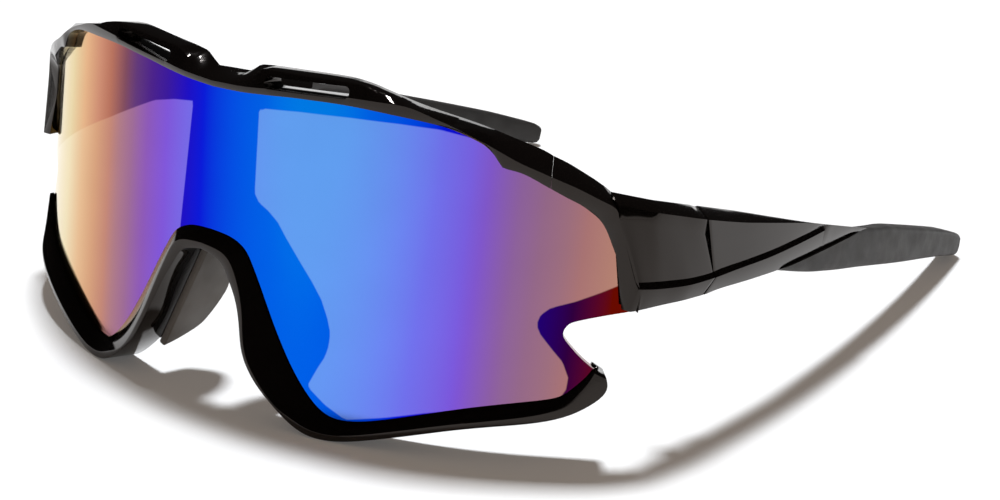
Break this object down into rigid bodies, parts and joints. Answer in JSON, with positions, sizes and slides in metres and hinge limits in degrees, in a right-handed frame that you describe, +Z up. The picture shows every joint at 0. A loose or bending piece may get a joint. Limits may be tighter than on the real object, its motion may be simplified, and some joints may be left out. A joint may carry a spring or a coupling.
{
  "type": "shield sunglasses",
  "caption": "Wraparound sports sunglasses with a one-piece curved mirrored lens, a vented brow bar, a lower rim with nose pads, and folding temples with rubber tips.",
  "frame": {"origin": "On the surface that the open glasses rest on, at the middle of their bounding box in X and Y", "axes": "+Z up, +Y from the lens back towards the temple tips, +X towards the wearer's left"},
  "size_m": [0.144, 0.1708, 0.0611],
  "materials": {
    "frame": "gloss black moulded nylon",
    "lens": "blue to violet mirror coating on polycarbonate",
    "rubber": "matte black soft rubber",
    "carrier": "satin black plastic",
    "hinge": "stamped nickel silver",
    "screw": "turned stainless steel"
  },
  "bodies": {
    "front": {"lens": "lens", "brow_bar": "frame", "lower_rim": "frame", "end_piece_left": "frame", "end_piece_right": "frame", "nose_pad_carrier_left": "carrier", "nose_pad_carrier_right": "carrier", "nose_pad_left": "rubber", "nose_pad_right": "rubber", "hinge_front_leaf_left": "hinge", "hinge_front_leaf_right": "hinge", "hinge_screw_left": "screw", "hinge_screw_right": "screw", "front_leaf_screws_left": "screw", "front_leaf_screws_right": "screw"},
    "temple_left": {"temple_arm_left": "frame", "temple_tip_left": "rubber", "hinge_temple_leaf_left": "hinge", "temple_leaf_screws_left": "screw"},
    "temple_right": {"temple_arm_right": "frame", "temple_tip_right": "rubber", "hinge_temple_leaf_right": "hinge", "temple_leaf_screws_right": "screw"}
  },
  "joints": [
    {"name": "left_temple_fold", "type": "hinge", "parent": "front", "child": "temple_left", "pos_m": [0.066, -0.03834, 0.03408], "axis": [0, 0.2807, 0.9598], "range_deg": [0, 90]},
    {"name": "right_temple_fold", "type": "hinge", "parent": "front", "child": "temple_right", "pos_m": [-0.066, -0.03834, 0.03408], "axis": [0, -0.2807, -0.9598], "range_deg": [0, 78]}
  ]
}
